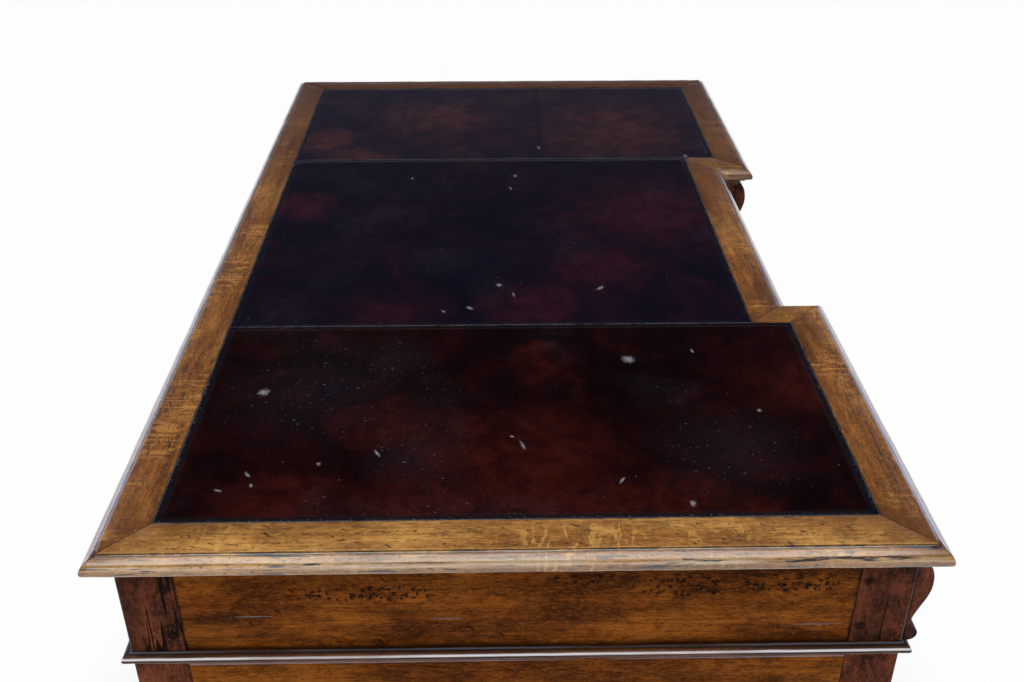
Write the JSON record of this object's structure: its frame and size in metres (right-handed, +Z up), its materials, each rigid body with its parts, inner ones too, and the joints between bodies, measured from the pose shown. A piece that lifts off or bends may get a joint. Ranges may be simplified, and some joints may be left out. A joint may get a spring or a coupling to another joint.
{
  "type": "pedestal desk",
  "caption": "Oak pedestal desk with a recessed kneehole front, moulded mitred top with inset leather, frieze drawers, scroll corbels and panelled drawer pedestals.",
  "frame": {"origin": "on the floor, in the middle of the desk's plan", "axes": "+X along the length to the sitter's right, +Y from the kneehole front to the back, +Z up"},
  "size_m": [1.57, 0.9, 0.775],
  "materials": {
    "oak_border": "waxed satin",
    "oak_frame": "waxed satin",
    "oak_board": "waxed satin",
    "oak_moulding": "waxed satin",
    "oak_inside": "bare, matt",
    "oak_knob": "waxed satin",
    "oak_peg": "waxed satin",
    "leather": "worn semi-gloss"
  },
  "bodies": {
    "carcass": {"top_back_board": "oak_border", "top_left_end_board": "oak_border", "top_right_end_board": "oak_border", "top_front_boards": "oak_border", "top_recess_boards": "oak_border", "top_ground_boards": "oak_inside", "bed_moulding": "oak_moulding", "leather_left": "leather", "leather_middle": "leather", "leather_right": "leather", "frieze_posts": "oak_frame", "frieze_end_boards": "oak_board", "frieze_back_boards": "oak_board", "frieze_partitions": "oak_inside", "frieze_rails": "oak_frame", "frieze_runners": "oak_inside", "scroll_corbels": "oak_moulding", "joint_pegs": "oak_peg", "waist_mouldings": "oak_moulding", "left_pedestal_posts": "oak_frame", "left_pedestal_frames": "oak_frame", "left_pedestal_panels": "oak_board", "left_pedestal_drawer_rails": "oak_frame", "left_pedestal_runners": "oak_inside", "left_pedestal_boards": "oak_inside", "left_plinth": "oak_moulding", "right_pedestal_posts": "oak_frame", "right_pedestal_frames": "oak_frame", "right_pedestal_panels": "oak_board", "right_pedestal_drawer_rails": "oak_frame", "right_pedestal_runners": "oak_inside", "right_pedestal_boards": "oak_inside", "right_plinth": "oak_moulding"},
    "left_frieze_drawer": {"left_frieze_drawer_front": "oak_board", "left_frieze_drawer_box": "oak_inside", "left_frieze_drawer_knobs": "oak_knob"},
    "centre_frieze_drawer": {"centre_frieze_drawer_front": "oak_board", "centre_frieze_drawer_box": "oak_inside", "centre_frieze_drawer_knobs": "oak_knob"},
    "right_frieze_drawer": {"right_frieze_drawer_front": "oak_board", "right_frieze_drawer_box": "oak_inside", "right_frieze_drawer_knobs": "oak_knob"},
    "left_bottom_drawer": {"left_bottom_drawer_front": "oak_board", "left_bottom_drawer_box": "oak_inside", "left_bottom_drawer_knobs": "oak_knob"},
    "left_middle_drawer": {"left_middle_drawer_front": "oak_board", "left_middle_drawer_box": "oak_inside", "left_middle_drawer_knobs": "oak_knob"},
    "left_top_drawer": {"left_top_drawer_front": "oak_board", "left_top_drawer_box": "oak_inside", "left_top_drawer_knobs": "oak_knob"},
    "right_bottom_drawer": {"right_bottom_drawer_front": "oak_board", "right_bottom_drawer_box": "oak_inside", "right_bottom_drawer_knobs": "oak_knob"},
    "right_middle_drawer": {"right_middle_drawer_front": "oak_board", "right_middle_drawer_box": "oak_inside", "right_middle_drawer_knobs": "oak_knob"},
    "right_top_drawer": {"right_top_drawer_front": "oak_board", "right_top_drawer_box": "oak_inside", "right_top_drawer_knobs": "oak_knob"}
  },
  "joints": [
    {"name": "left_frieze_drawer_slide", "type": "slide", "parent": "carcass", "child": "left_frieze_drawer", "axis": [0, -1, 0], "range_m": [0, 0.45]},
    {"name": "centre_frieze_drawer_slide", "type": "slide", "parent": "carcass", "child": "centre_frieze_drawer", "axis": [0, -1, 0], "range_m": [0, 0.45]},
    {"name": "right_frieze_drawer_slide", "type": "slide", "parent": "carcass", "child": "right_frieze_drawer", "axis": [0, -1, 0], "range_m": [0, 0.45]},
    {"name": "left_bottom_drawer_slide", "type": "slide", "parent": "carcass", "child": "left_bottom_drawer", "axis": [0, -1, 0], "range_m": [0, 0.45]},
    {"name": "left_middle_drawer_slide", "type": "slide", "parent": "carcass", "child": "left_middle_drawer", "axis": [0, -1, 0], "range_m": [0, 0.45]},
    {"name": "left_top_drawer_slide", "type": "slide", "parent": "carcass", "child": "left_top_drawer", "axis": [0, -1, 0], "range_m": [0, 0.45]},
    {"name": "right_bottom_drawer_slide", "type": "slide", "parent": "carcass", "child": "right_bottom_drawer", "axis": [0, -1, 0], "range_m": [0, 0.45]},
    {"name": "right_middle_drawer_slide", "type": "slide", "parent": "carcass", "child": "right_middle_drawer", "axis": [0, -1, 0], "range_m": [0, 0.45]},
    {"name": "right_top_drawer_slide", "type": "slide", "parent": "carcass", "child": "right_top_drawer", "axis": [0, -1, 0], "range_m": [0, 0.45]}
  ]
}
